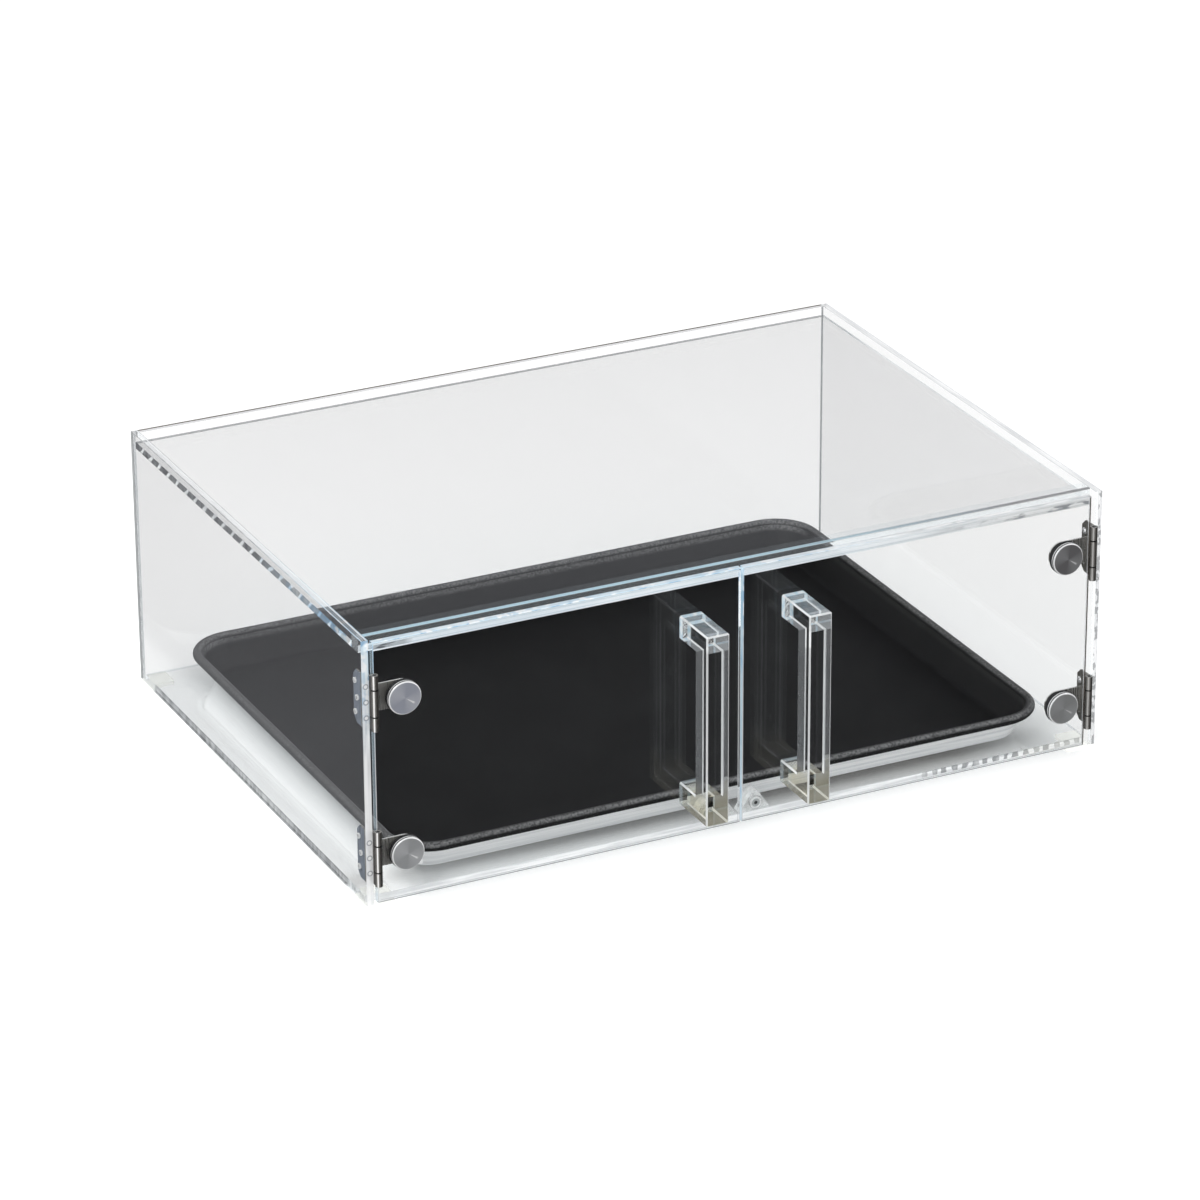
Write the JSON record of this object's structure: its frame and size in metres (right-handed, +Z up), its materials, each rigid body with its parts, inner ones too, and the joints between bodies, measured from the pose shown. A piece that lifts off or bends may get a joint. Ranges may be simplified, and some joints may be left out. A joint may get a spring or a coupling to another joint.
{
  "type": "countertop bread display bin",
  "caption": "Clear countertop bread bin with outward-swinging doors on clamp hinges, U-shaped handles, magnetic catches and a rimmed sheet pan.",
  "frame": {"origin": "on the counter, below the middle of the bin's bounding box, handles included", "axes": "+X to the right along the doors, +Y from the doors to the back panel, +Z up"},
  "size_m": [0.521, 0.413, 0.1825],
  "materials": {
    "clear_sheet": "polished clear acrylic",
    "clear_block": "polished clear acrylic",
    "clear_foot": "soft clear plastic",
    "hinge_steel": "brushed",
    "cap_steel": "turned",
    "screw_steel": "bright",
    "strike_steel": "satin",
    "magnet_metal": "plated",
    "gasket_rubber": "matt",
    "pan_aluminium": "bright outside, dark coated inside"
  },
  "bodies": {
    "case": {"base_panel": "clear_sheet", "back_panel": "clear_sheet", "top_panel": "clear_sheet", "header_bar": "clear_sheet", "left_side_panel": "clear_sheet", "right_side_panel": "clear_sheet", "front_left_foot": "clear_foot", "front_right_foot": "clear_foot", "back_left_foot": "clear_foot", "back_right_foot": "clear_foot", "left_lower_side_leaf": "hinge_steel", "left_lower_hinge_pin": "hinge_steel", "left_lower_leaf_screw_top": "screw_steel", "left_lower_leaf_screw_middle": "screw_steel", "left_lower_leaf_screw_bottom": "screw_steel", "left_upper_side_leaf": "hinge_steel", "left_upper_hinge_pin": "hinge_steel", "left_upper_leaf_screw_top": "screw_steel", "left_upper_leaf_screw_middle": "screw_steel", "left_upper_leaf_screw_bottom": "screw_steel", "left_catch_block": "clear_block", "left_catch_magnet": "magnet_metal", "right_lower_side_leaf": "hinge_steel", "right_lower_hinge_pin": "hinge_steel", "right_lower_leaf_screw_top": "screw_steel", "right_lower_leaf_screw_middle": "screw_steel", "right_lower_leaf_screw_bottom": "screw_steel", "right_upper_side_leaf": "hinge_steel", "right_upper_hinge_pin": "hinge_steel", "right_upper_leaf_screw_top": "screw_steel", "right_upper_leaf_screw_middle": "screw_steel", "right_upper_leaf_screw_bottom": "screw_steel", "right_catch_block": "clear_block", "right_catch_magnet": "magnet_metal"},
    "left_door": {"left_lower_door_leaf": "hinge_steel", "left_lower_clamp_cap": "cap_steel", "left_lower_front_gasket": "gasket_rubber", "left_lower_back_gasket": "gasket_rubber", "left_upper_door_leaf": "hinge_steel", "left_upper_clamp_cap": "cap_steel", "left_upper_front_gasket": "gasket_rubber", "left_upper_back_gasket": "gasket_rubber", "left_door_panel": "clear_sheet", "left_handle": "clear_block", "left_strike_disc": "strike_steel"},
    "right_door": {"right_lower_door_leaf": "hinge_steel", "right_lower_clamp_cap": "cap_steel", "right_lower_front_gasket": "gasket_rubber", "right_lower_back_gasket": "gasket_rubber", "right_upper_door_leaf": "hinge_steel", "right_upper_clamp_cap": "cap_steel", "right_upper_front_gasket": "gasket_rubber", "right_upper_back_gasket": "gasket_rubber", "right_door_panel": "clear_sheet", "right_handle": "clear_block", "right_strike_disc": "strike_steel"},
    "tray": {"sheet_pan": "pan_aluminium"}
  },
  "joints": [
    {"name": "left_door_hinge", "type": "hinge", "parent": "case", "child": "left_door", "pos_m": [-0.2533, -0.172, 0.0883], "axis": [0, 0, -1], "range_deg": [0, 180]},
    {"name": "right_door_hinge", "type": "hinge", "parent": "case", "child": "right_door", "pos_m": [0.2533, -0.172, 0.0883], "axis": [0, 0, 1], "range_deg": [0, 180]},
    {"name": "tray_slide", "type": "slide", "parent": "case", "child": "tray", "axis": [0, 1, 0], "range_m": [-0.0015, 0.004]}
  ]
}
